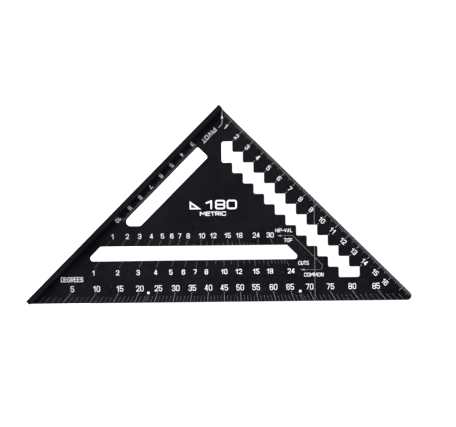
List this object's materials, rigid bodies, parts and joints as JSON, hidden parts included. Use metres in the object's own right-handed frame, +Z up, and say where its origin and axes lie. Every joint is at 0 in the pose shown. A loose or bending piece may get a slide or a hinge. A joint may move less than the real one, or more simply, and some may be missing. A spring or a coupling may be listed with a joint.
{
  "type": "speed square",
  "caption": "Triangular metal rafter square with a T fence, scribing notches, windows and engraved degree, rafter and ruler scales.",
  "frame": {"origin": "the pivot corner: the ruler edge meets the plane of the fence's register faces, at the middle of the blade's thickness", "axes": "+Z up the ruler edge, square to the fence; +Y through the blade's thickness, away from the lettered face; +X along the fence towards the heel"},
  "size_m": [0.1834, 0.022, 0.1825],
  "materials": {
    "blade_anodised": "satin black hard-anodised aluminium, fine blasted grain",
    "fence_anodised": "satin black hard-anodised aluminium extrusion",
    "scale_white": "white filled laser etching, matt",
    "back_scale_white": "white filled laser etching on the plain face, matt"
  },
  "bodies": {
    "root": {"blade": "blade_anodised", "fence": "fence_anodised", "ruler_ticks": "scale_white", "ruler_numerals": "scale_white", "notch_ticks": "scale_white", "back_ruler_ticks": "back_scale_white", "back_ruler_numerals": "back_scale_white", "window_ticks": "scale_white", "window_numerals": "scale_white", "degree_ticks": "scale_white", "degree_numerals": "scale_white", "pitch_dots": "scale_white", "common_ticks": "scale_white", "common_numerals": "scale_white", "hip_ticks": "scale_white", "hip_numerals": "scale_white", "captions": "scale_white", "pivot_caption": "scale_white", "scale_leader": "scale_white", "pivot_arrow": "scale_white", "level_line": "scale_white", "size_mark": "scale_white"}
  },
  "joints": []
}
